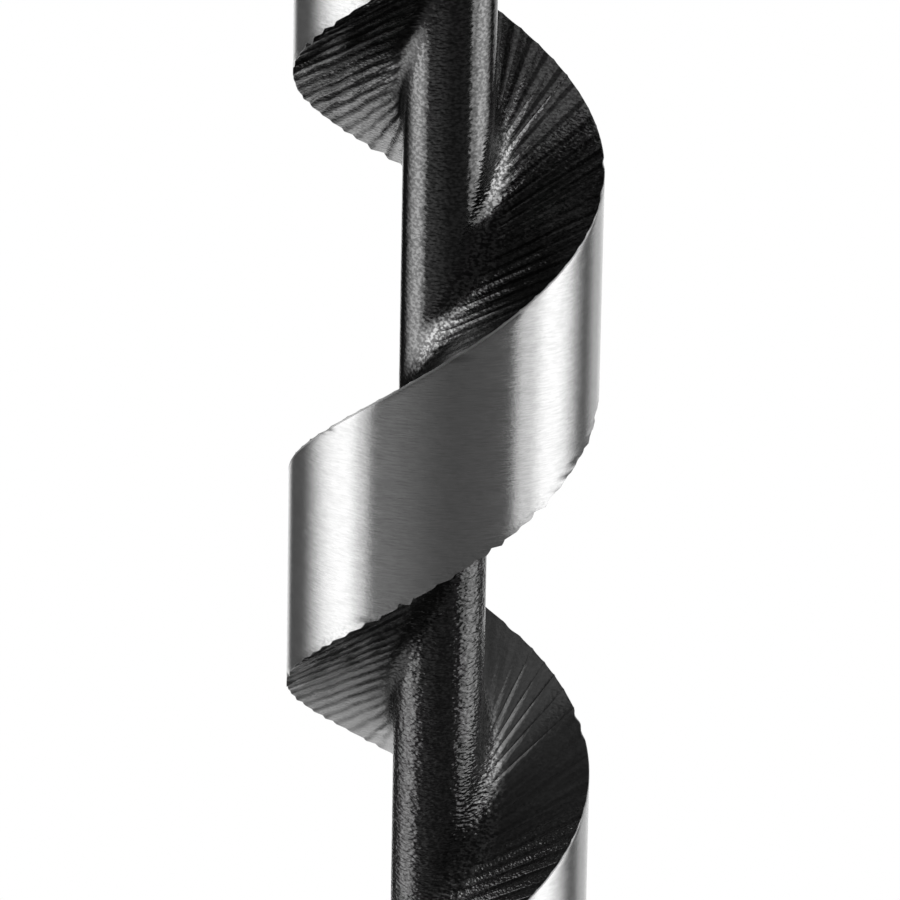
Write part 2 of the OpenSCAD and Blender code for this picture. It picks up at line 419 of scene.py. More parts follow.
print("makers: loft, turned, prism, box")


# %% Cutting, placing and smoothing
def carve(piece, tool, operation="DIFFERENCE"):
    """Cuts a solid with another, joins them or keeps what they share. The tool is used up."""
    step = piece.modifiers.new("carve", "BOOLEAN")
    step.operation = operation
    step.solver = "MANIFOLD"
    step.object = tool
    graph = bpy.context.evaluated_depsgraph_get()
    mesh = bpy.data.meshes.new_from_object(piece.evaluated_get(graph))
    piece.modifiers.clear()
    piece.data = mesh
    bpy.data.objects.remove(tool)
    return piece


def turn_z(degrees):
    return Matrix.Rotation(math.radians(degrees), 4, "Z")


def turn_x(degrees):
    return Matrix.Rotation(math.radians(degrees), 4, "X")


def turn_y(degrees):
    return Matrix.Rotation(math.radians(degrees), 4, "Y")


def move(x, y, z):
    return Matrix.Translation(Vector((x, y, z)) * MM)


def placed(piece, matrix):
    """Moves the mesh itself, so that the object stays at the frame's origin."""
    piece.data.transform(matrix)
    return piece


def outwards(degrees, z):
    """Frame of a radial hole, with +Z pointing out from the axis."""
    return turn_z(degrees) @ move(0, 0, z) @ turn_y(90)


def finished(piece, body, node, material, sharp=32):
    """Smooths a piece, gives it its finish, and hands it to the frame in place of a node."""
    piece.data.shade_smooth()
    piece.data.set_sharp_from_angle(angle=math.radians(sharp))
    piece.data.materials.clear()
    piece.data.materials.append(material)
    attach(piece, body)
    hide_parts(node)
    print(piece.name, "has", len(piece.data.polygons), "faces")


print("tools: carve, placed, finished")

# %% [markdown]
# ## The finish of the twist
# The bar is milled, blackened, and then ground on its outside. So the land is bright steel with fine rings
# from the grinding wheel, while the flutes and the core keep a glossy black skin over rough tool marks.
# Use shows as well: dirt stays in the grooves, the roots are rubbed bright in spots, ridges glint low on the
# front, the land's lower rim is scuffed, and the lowest turn is rougher and duller. Shade is painted in as
# well:
# a ragged dark collar in the corner under the flight, and a darker core on the lowest turn. Painted maps
# could hold all this, but masks that are worked out from the place on the bar need no images and stay sharp
# in a close-up. The mesh carries a "lay" coordinate for them: how far a point is from the upper rim along
# the outline, which milled line it is on, and how dirty its groove is. That tells the land from the flutes,
# and gives the streaks the direction in which the cutter ran.


# %% Material helpers
def grey(shade):
    return (shade, shade, shade, 1)


def new_material(name):
    material = bpy.data.materials.new(name)
    material.use_nodes = True
    return material, Sheet(material.node_tree)


def close_material(sheet, colour, roughness, height, depth, metal):
    """Metal with a colour, a roughness and a bump of some depth in millimetres."""
    normal = sheet.node("ShaderNodeBump", None, {"Height": height, "Distance": depth * MM}, out="Normal")
    sockets = {"Base Color": colour, "Roughness": roughness, "Metallic": metal, "Normal": normal}
    surface = sheet.node("ShaderNodeBsdfPrincipled", None, sockets)
    sheet.node("ShaderNodeOutputMaterial", None, {"Surface": surface})


def object_mm(sheet):
    """Place on the object, in millimetres."""
    place = sheet.node("ShaderNodeTexCoord", out="Object")
    return sheet.scaled(place, (MM, MM, MM))


print("materials are metal with a bump")

# %% Marks on the twist
noise_mean = 0.5


def twist_marks(sheet, place, along, across):
    """Noises for the kinds of marks, each with the size of its grains in millimetres."""
    milled = sheet.vector(along, across, 0.0)
    return SimpleNamespace(
        rings=sheet.grain(place, (0.9, 0.9, 0.1), 3.0, 0.6),
        mottle=sheet.grain(place, (1.1, 1.1, 0.7), 3.0, 0.65),
        streak=sheet.grain(milled, (0.7, 0.16, 1.0), 2.0),
        pits=sheet.grain(place, (0.32, 0.32, 0.2), 1.0),
        fine=sheet.grain(place, (0.18, 0.18, 0.16), 1.0),
        ripple=sheet.grain(place, (0.4, 0.4, 0.17), 0.7),
        smudge=sheet.grain(place, (2.5, 2.5, 1.2), 3.0),
        blots=sheet.grain(place, (0.5, 0.5, 0.35), 2.0),
        spots=sheet.grain(place, (0.26, 0.26, 0.18), 1.0),
    )


print("marks from rings on the land to spots on the skin")


# %% Zones of the twist
def line_run(r):
    """Distance along a milled line, from its point nearest the axis out to radius r."""
    return np.sqrt(r * r - cut_offset * cut_offset)


land_length = bit_r * land_turn
root_lay = land_length + (line_run(bit_r) - line_run(core_r)) * math.hypot(1, cut_slope)
land_soft = 0.04
ground_skin = (bit_r - 0.3, bit_r - 0.15)
worn_top = twist_foot + 46
worn_fade = 12.0
upper_edge = (-0.5, 0.5)
wide_root = (core_r + 0.3, core_r + 1.4)
narrow_root = (core_r + 0.1, core_r + 0.5)
front_wear = 0.35
wear_depth = (-5.0, 1.0)
rim_band = (-0.4, 0.22)
rim_soft = 0.08
ridge_groove = (0.05, 0.4)
ridge_depth = (-4.0, -1.0)


def twist_zones(sheet, place, along, groove):
    """Masks that tell the zones of the bar apart, with the places they come from."""
    _, y, z = sheet.parts(place)
    zone = SimpleNamespace(along=along, groove=groove, radius=sheet.radius(place))
    zone.ground = sheet.window(along, 0.0, land_length, land_soft) * sheet.ramp(zone.radius, *ground_skin)
    zone.rim = sheet.window(along, *rim_band, rim_soft)
    zone.upper = sheet.fade(along, upper_edge)
    zone.used = sheet.ramp(z, worn_top, worn_top - worn_fade)
    zone.worn = zone.used * (front_wear + (1 - front_wear) * sheet.ramp(y, *wear_depth))
    under = (1 - zone.upper) * zone.used
    wide = sheet.ramp(zone.radius, *wide_root)
    narrow = sheet.ramp(zone.radius, *narrow_root)
    zone.core = 1 - wide * (1 - under) - narrow * under
    zone.ridge = sheet.fade(groove, ridge_groove) * zone.upper * zone.used * sheet.fade(y, ridge_depth)
    return zone


print("land of", round(land_length, 1), "mm, root at", round(root_lay, 1), "mm from the upper rim")

# %% Relief and gloss of the twist
bump_depth = 0.1
worn_calm = 0.5
relief = SimpleNamespace(
    streak=0.25, pits=0.35, fine=0.12, ridge=0.95, skin=0.25, used=0.7, rings=0.12, land=0.03
)
rough = SimpleNamespace(skin=0.09, smudge=0.12, worn=0.08, land=0.08, rings=0.07, mottle=0.1, rim=0.25)


def twist_height(mark, zone):
    """Height of the fine marks, in shares of the bump's depth."""
    pitted = mark.pits * relief.pits + mark.fine * relief.fine
    flute = mark.streak * relief.streak + pitted * (1 - worn_calm * zone.worn)
    flute = flute + relief.ridge * mark.fine * zone.ridge
    skin = mark.ripple * (relief.skin + relief.used * zone.used)
    black = flute * (1 - zone.core) + skin * zone.core
    land = mark.rings * relief.rings + mark.fine * relief.land
    return black * (1 - zone.ground) + land * zone.ground


def twist_roughness(mark, zone):
    black = rough.skin + rough.smudge * mark.smudge + rough.worn * zone.worn * (1 - zone.core)
    land = rough.land + rough.rings * mark.rings + rough.mottle * mark.mottle + rough.rim * zone.rim
    return black * (1 - zone.ground) + land * zone.ground


print("marks up to", bump_depth, "mm deep")

# %% Dirt and painted shade on the twist
speckle_streak = 0.5
speckle_range = (0.62, 0.5)
speckle_worn = 0.7
speckle_share = 0.7
dirt_range = (0.1, 0.65)
dirt_worn = 0.85
# Painted shade: a ragged dark band at the root in the corner under the flight, in mm along the outline.
collar_band = (root_lay - 1.2, root_lay + 0.4)
collar_soft = 0.7
collar_ragged = 2.0
collar_share = 0.6


def twist_dirt_and_shade(sheet, mark, zone):
    """Dirt in specks and grooves, and painted shade as a ragged collar in the corner under the flight."""
    speckle = sheet.ramp(mark.fine + speckle_streak * mark.streak, *speckle_range)
    speckle = speckle * (1 - zone.core) * (1 - speckle_worn * zone.worn)
    dirt = sheet.ramp(zone.groove + mark.blots - noise_mean, *dirt_range)
    dirt = dirt * (1 - zone.core) * (1 - dirt_worn * zone.worn * zone.upper)
    # The collar is painted shade in the corner under the flight, stronger on the lowest turn.
    ragged = zone.along + collar_ragged * (mark.blots - noise_mean)
    ragged = ragged + collar_ragged * (mark.spots - noise_mean)
    collar = sheet.window(ragged, *collar_band, collar_soft)
    collar = collar * (collar_share + (1 - collar_share) * zone.used)
    return (dirt + speckle_share * speckle) * (1 - collar) + collar


# Width of the collar of painted shade under the flight.
print("a collar of dirt", round(collar_band[1] - collar_band[0], 2), "mm wide")

# %% Colours of the twist
BRIGHT = grey(0.8)
DULL = grey(0.67)
BLACK = grey(0.12)
GLOSS = grey(0.24)
DIRT_AND_SHADE = grey(0.025)
SCUFF = grey(0.5)
POLISH = grey(0.5)
gloss_range = (0.36, 0.66)
even_share = 0.8
even_gloss = 0.5
root_band = (core_r + 0.35, core_r + 1.0)
root_soft = 0.8
root_start = (core_r, core_r + 0.2)
low_root = 0.2
polish_range = (0.42, 0.62)
polish_share = 0.8
lowest_core_shade = 0.3
dirt_and_shade_share = 0.85
ring_share = 0.6
shine_range = (0.32, 0.66)
scuff_band = (land_length - 2.0, land_length)
scuff_range = (0.95, 1.25)
scuff_share = 0.6


def skin_colour(sheet, mark, zone):
    """Black skin: glossy spots, rubbed roots, dirt, and painted shade on the lowest core and under the
    flight.
    """
    even = even_share * zone.worn * (1 - zone.core)
    gloss = sheet.ramp(mark.spots, *gloss_range) * (1 - even) + even_gloss * even
    skin = sheet.blend(gloss, BLACK, GLOSS)
    root = sheet.window(zone.radius, *root_band, root_soft) * sheet.ramp(zone.radius, *root_start)
    root = root * (low_root + (1 - low_root) * zone.upper)
    skin = sheet.blend(polish_share * root * sheet.ramp(mark.spots, *polish_range), skin, POLISH)
    # Painted shade: the core is darker on the lowest turn.
    skin = sheet.blend(lowest_core_shade * zone.core * zone.used, skin, DIRT_AND_SHADE)
    # Dirt in specks and grooves, and painted shade in the corner under the flight.
    return sheet.blend(dirt_and_shade_share * twist_dirt_and_shade(sheet, mark, zone), skin, DIRT_AND_SHADE)


def land_colour(sheet, mark, zone):
    """Ground steel: bright and dull rings, and scuffs along the lower rim."""
    shine = sheet.ramp(ring_share * mark.rings + (1 - ring_share) * mark.mottle, *shine_range)
    scuffed = sheet.ramp(zone.along, *scuff_band) * sheet.ramp(mark.mottle + mark.spots, *scuff_range)
    return sheet.blend(scuff_share * scuffed, sheet.blend(shine, DULL, BRIGHT), SCUFF)


print("skin from", BLACK[0], "to", GLOSS[0], "and land from", DULL[0], "to", BRIGHT[0])

# %% Land, flutes and core
veil = SimpleNamespace(skin=0.08, worn=0.44, core=0.2, land=0.25, rim=0.3)


def twist_metal(zone):
    """How metallic the bar is: a veil of oxide and fine scratches takes some of it."""
    black = (veil.skin + veil.worn * zone.worn) * (1 - zone.core) + veil.core * zone.core * zone.used
    return 1 - (veil.land + veil.rim * zone.rim) * zone.ground - black * (1 - zone.ground)


def twist_finish():
    material, sheet = new_material("milled_and_ground")
    place = object_mm(sheet)
    lay = sheet.node("ShaderNodeAttribute", {"attribute_name": "lay"}, out="Vector")
    along, across, groove = sheet.parts(lay)
    mark = twist_marks(sheet, place, along, across)
    zone = twist_zones(sheet, place, along, groove)
    colour = sheet.blend(zone.ground, skin_colour(sheet, mark, zone), land_colour(sheet, mark, zone))
    roughness = twist_roughness(mark, zone)
    close_material(sheet, colour, roughness, twist_height(mark, zone), bump_depth, twist_metal(zone))
    return material


twist_material = twist_finish()
print("made", twist_material.name)

# %% [markdown]
# ## The twist
# Each flute face is swept by a straight cutter line that passes the axis at a small distance and climbs at a
# steady slope, so the face is a ruled helicoid. A level cross-section would give smooth lofts, but the tool
# marks run along those straight lines. So each ring of the loft here follows one cutter line down the upper
# face, crosses the land, and follows another line up the lower face. Marks then are simply rings that step.


# %% Faces of the flight
def face_turn(r):
    """Angle from the rim to the upper flute face at radius r, in one level plane."""
    bend = np.arccos(cut_offset / r) - np.arccos(cut_offset / bit_r)
    return bend - cut_slope * (line_run(r) - line_run(bit_r)) / rise


def ease(t):
    c = np.clip(t, 0, 1)
    return c * c * (3 - 2 * c)


# The solid's outline has 6 steps up a face, 11 over the land and 12 round the core. The run-out spreads
# them evenly, so this outline goes by the same shares.
FACE_STEPS = 6
LAND_STEPS = 11
CORE_STEPS = 12
ALL_STEPS = 2 * FACE_STEPS + LAND_STEPS + CORE_STEPS
FACE_POWER = 1.7


def face_share(r):
    """Steps from the root to radius r."""
    return FACE_STEPS * ((r - core_r) / (bit_r - core_r)) ** (1 / FACE_POWER)


print("the face turns by", round(math.degrees(face_turn(core_r)), 1), "degrees from rim to core")

# %% Outline of one ring
FACE_POINTS = 16
LAND_POINTS = 28
CORE_POINTS = 16
FACE_SPREAD = 1.4
rim_round = 0.12


def rounded(start, corner, end):
    """Three values on a curve that rounds a corner."""
    t = np.array([0.25, 0.5, 0.75])
    return (1 - t) ** 2 * start + 2 * t * (1 - t) * corner + t**2 * end


def outline():
    """Columns: radius, level angle, lift above the ring's own height, share, and distance from the rim."""
    rim_run = line_run(bit_r)
    spread = np.linspace(0, 1, FACE_POINTS) ** FACE_SPREAD
    run = line_run(core_r) + (line_run(bit_r - rim_round) - line_run(core_r)) * spread
    r = np.sqrt(run**2 + cut_offset**2)
    length = (run - rim_run) * math.hypot(1, cut_slope)
    upper = [r, face_turn(r), cut_slope * (run - rim_run), face_share(r), length]
    turn = np.linspace(rim_round / bit_r, land_turn, LAND_POINTS)
    across = turn / land_turn
    land = [0 * turn + bit_r, turn, 0 * turn, FACE_STEPS + LAND_STEPS * across, bit_r * turn]
    run = line_run(core_r) + (rim_run - line_run(core_r)) * spread[-2::-1]
    r = np.maximum(np.sqrt(run**2 + cut_offset**2), core_r)
    length = land_length + (rim_run - run) * math.hypot(1, cut_slope)
    steps = 2 * FACE_STEPS + LAND_STEPS - face_share(r)
    lower = [r, land_turn - face_turn(r), cut_slope * (rim_run - run), steps, length]
    corner = [bit_r, 0.0, 0.0, FACE_STEPS, 0.0]
    rim = [rounded(a[-1], c, b[0]) for a, c, b in zip(upper, corner, land)]
    part = np.linspace(0, 1, CORE_POINTS + 1)[1:-1]
    root_turn = lower[1][-1]
    root_lift = lower[2][-1]
    core_turn = 2 * math.pi + face_turn(core_r) - root_turn
    core = [
        0 * part + core_r,
        root_turn + core_turn * part,
        root_lift * (1 - 2 * part),
        2 * FACE_STEPS + LAND_STEPS + CORE_STEPS * part,
        length[-1] + core_r * core_turn * part,
    ]
    return [np.concatenate(columns) for columns in zip(upper, rim, land, lower, core)]


ring_outline = outline()
print("a ring has", len(ring_outline[0]), "points")

# %% Rounded roots
root_zone_up = 1.2
root_zone_low = 0.35
root_pull_up = 0.5
root_pull_low = 0.08
root_passes = 24


def round_roots(radius, turn, lift):
    """Rounds the two corners where the faces meet the core, as the cutter's own edge radius does."""
    angle = turn + lift / rise
    points = np.stack([radius * np.cos(angle), radius * np.sin(angle), lift], -1)
    zone = np.where(lift < 0, root_zone_up, root_zone_low)
    pull = np.where(lift < 0, root_pull_up, root_pull_low)
    weight = (pull * np.clip(1 - (radius - core_r) / zone, 0, 1))[:, None]
    for _ in range(root_passes):
        middle = (np.roll(points, 1, 0) + np.roll(points, -1, 0)) / 2
        points = points + weight * (middle - points)
    shift = np.arctan2(points[:, 1], points[:, 0]) - angle
    shift = (shift + math.pi) % (2 * math.pi) - math.pi
    soft_radius = np.maximum(np.hypot(points[:, 0], points[:, 1]), core_r)
    return soft_radius, turn + shift + (lift - points[:, 2]) / rise, points[:, 2]


print("roots rounded over", root_zone_up, "and", root_zone_low, "mm")

# %% [markdown]
# ## Tool marks
# The cutter leaves one step at each feed. On the lower face the steps are saw-toothed and torn along their
# length, on the upper face they are shallow scallops, and both rims carry small nicks. Wood has worn the
# marks of the lowest turn smoother. A bump in the material could draw the marks, but they also break the
# outline of the rims, so they are geometry. All their sizes are drawn from one seeded generator, so that
# every run gives the same bit.

# %% One mark after another
mark_step = 0.78
mark_spread = (0.82, 1.18)
mark_stations = np.array([0, 0.12, 0.26, 0.42, 0.58, 0.7, 0.8, 0.9])
mark_seed = 11
ramp_share = 0.7
lower_depth = 0.17
lower_spread = (0.35, 1.5)
lower_groove = 0.3
upper_depth = 0.11
upper_spread = (0.4, 1.6)
upper_groove = 0.25
scallop_power = 3
nick_share = 0.22
nick_depth = 0.2
bite_share = 0.4
bite_depth = 0.16
dirt_spread = (0.45, 1)
tear_sizes = (1.8, 4.5)
rub_top = twist_foot + 28
rub_fade = 7.0
rub_share = 0.6


def tool_marks(low, high):
    """Values by ring: height, steps, grooves and rim nicks of both faces, and how each mark tears."""
    draw = np.random.default_rng(mark_seed)
    count = int((high - low) / mark_step) + 2
    size = mark_step * draw.uniform(*mark_spread, count)
    start = low + np.concatenate([[0], np.cumsum(size)[:-1]])
    s = mark_stations[None]
    fall = 0.5 - s / ramp_share
    back = ease((s - ramp_share) / (1 - ramp_share)) - 0.5
    saw = np.where(s < ramp_share, fall, back)
    scallop = np.abs(2 * s - 1) ** scallop_power
    depth_low = lower_depth * draw.uniform(*lower_spread, count)
    depth_up = upper_depth * draw.uniform(*upper_spread, count)
    nicks = nick_depth * draw.uniform(0, 1, count) * (draw.uniform(0, 1, count) < nick_share)
    bites = bite_depth * draw.uniform(0, 1, count) * (draw.uniform(0, 1, count) < bite_share)
    dirt = draw.uniform(*dirt_spread, count)[:, None]
    tear_size = draw.uniform(*tear_sizes, count)[:, None]
    tear_phase = draw.uniform(0, 2 * math.pi, count)[:, None]
    rubbed = 1 - rub_share * ease((rub_top - start) / rub_fade)
    depth_low = depth_low * rubbed
    bites = bites * rubbed
    columns = [
        start[:, None] + size[:, None] * s,
        saw * depth_low[:, None],
        scallop * depth_up[:, None],
        dirt * ease(1 - np.abs(s - ramp_share) / lower_groove),
        dirt * ease(1 - np.abs(s - 0.5) / upper_groove),
        nicks[:, None] * np.sin(math.pi * s) ** 2,
        bites[:, None] * np.sin(math.pi * s) ** 2,
        tear_size + 0 * s,
        tear_phase + 0 * s,
    ]
    return [column.ravel() for column in columns]


print("marks every", mark_step, "mm")

# %% How a milled line strays
stray_waves = 6
stray_depth = 0.1
stray_sizes = (2.0, 6.0)
stray_slants = (-0.5, 0.5)


def wander(height, lay):
    """How far a milled line strays from its place, in millimetres: a few crossing waves."""
    draw = np.random.default_rng(mark_seed)
    stray = 0.0
    for _ in range(stray_waves):
        size = draw.uniform(*stray_sizes)
        slant = draw.uniform(*stray_slants)
        phase = draw.uniform(0, 2 * math.pi)
        stray = stray + np.sin(2 * math.pi * (lay + slant * height) / size + phase)
    return stray_depth * stray / stray_waves


print("lines stray by up to", stray_depth, "mm")

# %% Flight and core
root_fade = 0.9
calm_from = 5.5
calm_run = bit_r - calm_from
calm_share = 0.45
rim_reach_face = 0.8
rim_reach_land = 0.4
rim_deeper = 0.35
tear_share = 0.65
same_place = 1e-6
over_foot = 6.0
over_neck = 3.0


def rim_weight(past):
    """1 at a rim, fading over the face (past the rim) and faster over the land."""
    return ease(1 - np.abs(past) / np.where(past < 0, rim_reach_land, rim_reach_face))


def flight(name, low, high, marked):
    """The milled flight between two ring heights, with tool marks (1) or without (0)."""
    radius, turn, lift, share, lay = ring_outline
    marks = tool_marks(low, high)
    heights, step_low, step_up, groove_low, groove_up, nick, bite, tear_size, tear_phase = marks
    on_upper = lay < 0
    on_lower = (lay >= land_length - same_place) & (radius > core_r)
    root = ease((radius - core_r) / root_fade)
    near_low = rim_weight(lay - land_length)
    weight_low = np.where(on_lower, root, 0) * (1 + rim_deeper * near_low)
    weight_up = np.where(on_upper, root * (1 - calm_share * ease((radius - calm_from) / calm_run)), 0)
    radius, turn, lift = round_roots(radius, turn, lift)
    stray = wander(heights[:, None], lay[None]) * weight_low * marked
    plain = heights[:, None] + lift[None] + stray
    ends = ease((plain - twist_top + runout_l) / runout_l)
    loss = nick[:, None] * rim_weight(-lay) + bite[:, None] * near_low
    r = radius + (runout_r - radius) * ends - loss * (1 - ends) * marked
    even = turn[0] + 2 * math.pi * share / ALL_STEPS
    angle = lip_turn + (plain - twist_foot) / rise + turn + (even - turn) * ends
    tear = np.sin(2 * math.pi * lay[None] / tear_size[:, None] + tear_phase[:, None])
    cut = step_low[:, None] * weight_low * (1 + tear_share * tear) + step_up[:, None] * weight_up
    z = plain + cut * (1 - ends) * marked
    piece = loft(name, np.stack([r * np.cos(angle), r * np.sin(angle), z], -1))
    groove = groove_low[:, None] * weight_low + groove_up[:, None] * on_upper * root
    lays = np.stack(np.broadcast_arrays(lay[None], heights[:, None], groove), -1)
    carried = piece.data.attributes.new("lay", "FLOAT_VECTOR", "POINT")
    carried.data.foreach_set("vector", np.ascontiguousarray(lays, np.float32).ravel())
    return piece


twist = flight("milled_twist", twist_foot - over_foot, neck_top + over_neck, 1)
print("flight of", len(twist.data.polygons), "faces")

# %% [markdown]
# ## Seats and holes of the twist
# Above the flight the bar is turned to a neck and to a stem that enters the shank. At the lower end the
# flight is cut square for the lip, bored for the point's stub, drilled through the land for the grub screw,
# and slotted for the spur. Each of these is one boolean with the solid that the real cutter sweeps.

# %% Neck, stem and square end
fit_gap = 0.02
face_gap = 0.05
stem_bore_r = 3.5
stem_r = stem_bore_r - fit_gap
stem_l = 21.0
stem_bevel = 0.4
neck_bevel = 0.3
neck_blend = 0.6
neck_cut = 2.0
stub_r = 1.8
stub_l = 13.0
stub_room = 0.5
over = 1.0
far = 30.0

neck_profile = [
    (runout_r - neck_blend, twist_top - neck_blend),
    (neck_r, twist_top),
    (neck_r, neck_top - neck_bevel),
    (neck_r - neck_bevel, neck_top),
    (stem_r, neck_top),
    (stem_r, neck_top + stem_l - stem_bevel),
    (stem_r - stem_bevel, neck_top + stem_l),
]
bore_r = stub_r + fit_gap
bore_profile = [(bore_r, twist_foot - over), (bore_r, twist_foot + stub_l + stub_room)]
carve(twist, box("trim_top", (-far, -far, neck_top - neck_cut), (far, far, far)))
carve(twist, turned("neck", neck_profile), "UNION")
carve(twist, box("trim_foot", (-far, -far, twist_foot - far), (far, far, twist_foot)))
carve(twist, turned("stub_bore", bore_profile))
print("neck and foot cut,", len(twist.data.polygons), "faces")

# %% Grub screw hole, spur seat and pin hole
lock_r = 1.5
lock_angle = 330.0
lock_z = twist_foot + 9.7
lock_mouth = 0.2
mouth_l = 0.98
spur_angle = 288.0
spur_w = 5.0
spur_t = 1.8
spur_in = bit_r - spur_t
spur_seat_l = 9.0
spur_top = twist_foot + spur_seat_l
pin_r = 1.25
pin_z = neck_top + 11.0


def spur_block(name, low, gap, heel=0.0):
    """The spur's block in the land, grown by a gap, and longer on its trailing side by heel."""
    half = spur_w / 2 + gap
    block = box(name, (spur_in - gap, -half, low), (bit_r + over, half + heel, spur_top + gap))
    return placed(block, turn_z(spur_angle))


def pin_hole():
    """The tool for the cross pin's hole."""
    tool = turned("pin_hole", [(pin_r + fit_gap, -far), (pin_r + fit_gap, far)])
    return placed(tool, move(0, 0, pin_z) @ turn_x(90))


hole_r = lock_r + fit_gap
mouth_z = bit_r - lock_mouth
lock_profile = [(hole_r, 0), (hole_r, mouth_z), (hole_r + mouth_l, mouth_z + mouth_l)]
carve(twist, placed(turned("lock_hole", lock_profile), outwards(lock_angle, lock_z)))
carve(twist, spur_block("spur_seat", twist_foot - over, face_gap))
carve(twist, pin_hole())
finished(twist, "bit", "twist_body", twist_material)

# %% [markdown]
# ## Finishes of the other pieces
# The cutters are hardened and ground, so they are bright with fine straight scratches. The shank is drawn
# bar with a dark oxide that chuck jaws have rubbed off its corners. Screws are plain black, and pins are
# bright spring steel. All are metal with a little variation, so one function with a few choices makes them.

# %% Steel by colour, gloss and grain
steel_smudge = (2.2, 2.2, 3.0)
steel_pit = (0.25, 0.25, 0.25)
smudge_range = (0.3, 0.7)
smudge_shade = 0.78
scratch_rough = 0.12
smudge_rough = 0.08
pit_share = 0.4
worn_ragged = 0.35
worn_soft = 0.15


def steel(name, shade, gloss, grain, depth, metal=1.0, worn_radius=None):
    """Metal with long scratches; grain is the size of one scratch along X, Y and Z in millimetres."""
    material, sheet = new_material(name)
    place = object_mm(sheet)
    scratch = sheet.grain(place, grain, 3.0, 0.6)
    smudge = sheet.grain(place, steel_smudge, 3.0)
    pits = sheet.grain(place, steel_pit, 2.0)
    colour = sheet.blend(sheet.ramp(smudge, *smudge_range), grey(smudge_shade * shade), grey(shade))
    roughness = gloss + scratch_rough * scratch + smudge_rough * smudge
    if worn_radius:
        radius = sheet.radius(place) + worn_ragged * (smudge - noise_mean)
        worn = sheet.ramp(radius, worn_radius, worn_radius + worn_soft)
        colour = sheet.blend(worn, colour, BRIGHT)
    close_material(sheet, colour, roughness, scratch + pit_share * pits, depth, metal)
    return material


ground_steel = steel("ground_cutter", 0.62, gloss=0.12, grain=(3.0, 0.07, 0.07), depth=0.006, metal=0.75)
point_steel = steel("polished_point", 0.55, gloss=0.16, grain=(0.5, 0.5, 0.05), depth=0.006, metal=0.85)
drawn_steel = steel("drawn_shank", 0.2, 0.2, (0.09, 0.09, 5.0), depth=0.012, metal=0.9, worn_radius=6.0)
black_steel = steel("black_screw", 0.045, gloss=0.26, grain=(0.3, 0.3, 0.3), depth=0.012)
spring_steel = steel("spring_pin", 0.4, gloss=0.2, grain=(0.08, 2.0, 0.08), depth=0.006)
print("finishes:", [m.name for m in bpy.data.materials])

# %% [markdown]
# ## Screw point
# The point is a slim cone with a thread that grows towards the lip, like a large wood screw. It could be a
# swept profile, but a surface of radius over height and angle holds the taper, the growing thread and its
# run-out in one formula, the one that the solid uses, on a much finer grid.

# %% Radius of the tapered thread
lip_t = 2.6
lip_foot = twist_foot - lip_t
point_l = lip_foot - tip_z
point_r = 3.4
point_root_r = core_r - 0.6
point_tip_r = 0.15
point_pitch = 2.3
point_taper = 0.8
crest_tip = 0.25
thread_flank = 0.3
point_runout = 1.4


def point_radius(h, a):
    """Radius of the point at a height above its tip and an angle."""
    grow = np.minimum(1, h / point_l) ** point_taper
    root = point_tip_r + (point_root_r - point_tip_r) * grow
    full = crest_tip + (1 - crest_tip) * grow
    crest = (point_r - point_root_r) * full * ease((point_l - h) / point_runout)
    phase = (h / point_pitch - a / (2 * math.pi)) % 1
    return root + crest * np.maximum(0, 1 - np.abs(phase - 0.5) / thread_flank)


print("point of", round(point_l, 2), "mm")

# %% Thread, collar and stub
POINT_RINGS = 300
POINT_SIDES = 96
collar_bevel = 0.15
stub_bevel = 0.3
stub_flat = stub_r - 0.5
flat_reach = 3.0
point_sharp = 40


def threaded_point():
    heights = np.linspace(0, point_l + over, POINT_RINGS)
    turns = np.linspace(0, 2 * math.pi, POINT_SIDES, False)
    h, a = np.meshgrid(heights, turns, indexing="ij")
    r = point_radius(h, a)
    piece = loft("threaded_point", np.stack([r * np.cos(a), r * np.sin(a), tip_z + h], -1))
    collar_top = twist_foot - face_gap
    stub_top = twist_foot + stub_l
    shaft = [
        (core_r - collar_bevel, lip_foot),
        (core_r, lip_foot + collar_bevel),
        (core_r, collar_top),
        (stub_r, collar_top),
        (stub_r, stub_top - stub_bevel),
        (stub_r - stub_bevel, stub_top),
    ]
    carve(piece, turned("shaft", shaft), "UNION")
    flat = box("flat", (stub_flat, -far, lock_z - flat_reach), (far, far, stub_top + over))
    return carve(piece, placed(flat, turn_z(lock_angle)))


finished(threaded_point(), "point", "screw_point", point_steel, point_sharp)

# %% [markdown]
# ## Lip and spur
# The lip is a hardened plate that carries the flight's own form down to a cutting edge. So it is made from
# the same flight, without tool marks: a slice of it, relieved behind the edge, bored for the point's collar
# and countersunk for its screw. The spur is a small knife that follows the land.

# %% Countersunk screws
screw_r = 1.25
screw_bevel = 0.2
screw_sides = 48
head_r = 2.25
head_l = 1.2
head_over = 0.01
head_room_l = 3.0
socket_af = 1.5


def screw_form(name, length, gap):
    """A countersunk screw with its head up at z = 0, or the tool for its hole."""
    profile = [
        (screw_r + gap - screw_bevel, -length - gap),
        (screw_r + gap, -length + screw_bevel),
        (screw_r + gap, -head_l),
        (head_r + gap, 0),
    ]
    return turned(name, profile, screw_sides)


def head_room():
    """The tool that clears the way to a sunk head."""
    profile = [(head_r + fit_gap, -head_over), (head_r + fit_gap, head_room_l)]
    return turned("head_room", profile, screw_sides)


def hexagon(af, corner=0.0, steps=1):
    """Outline of a hexagon with flats facing +Y and -Y and corners of some radius."""
    reach = (af / 2 - corner) / math.cos(math.radians(30))
    bends = np.linspace(-1, 1, steps) * math.radians(30) if steps > 1 else [0.0]
    points = []
    for side in range(6):
        middle = math.radians(60 * side)
        for bend in bends:
            x = reach * math.cos(middle) + corner * math.cos(middle + bend)
            y = reach * math.sin(middle) + corner * math.sin(middle + bend)
            points.append((x, y))
    return points


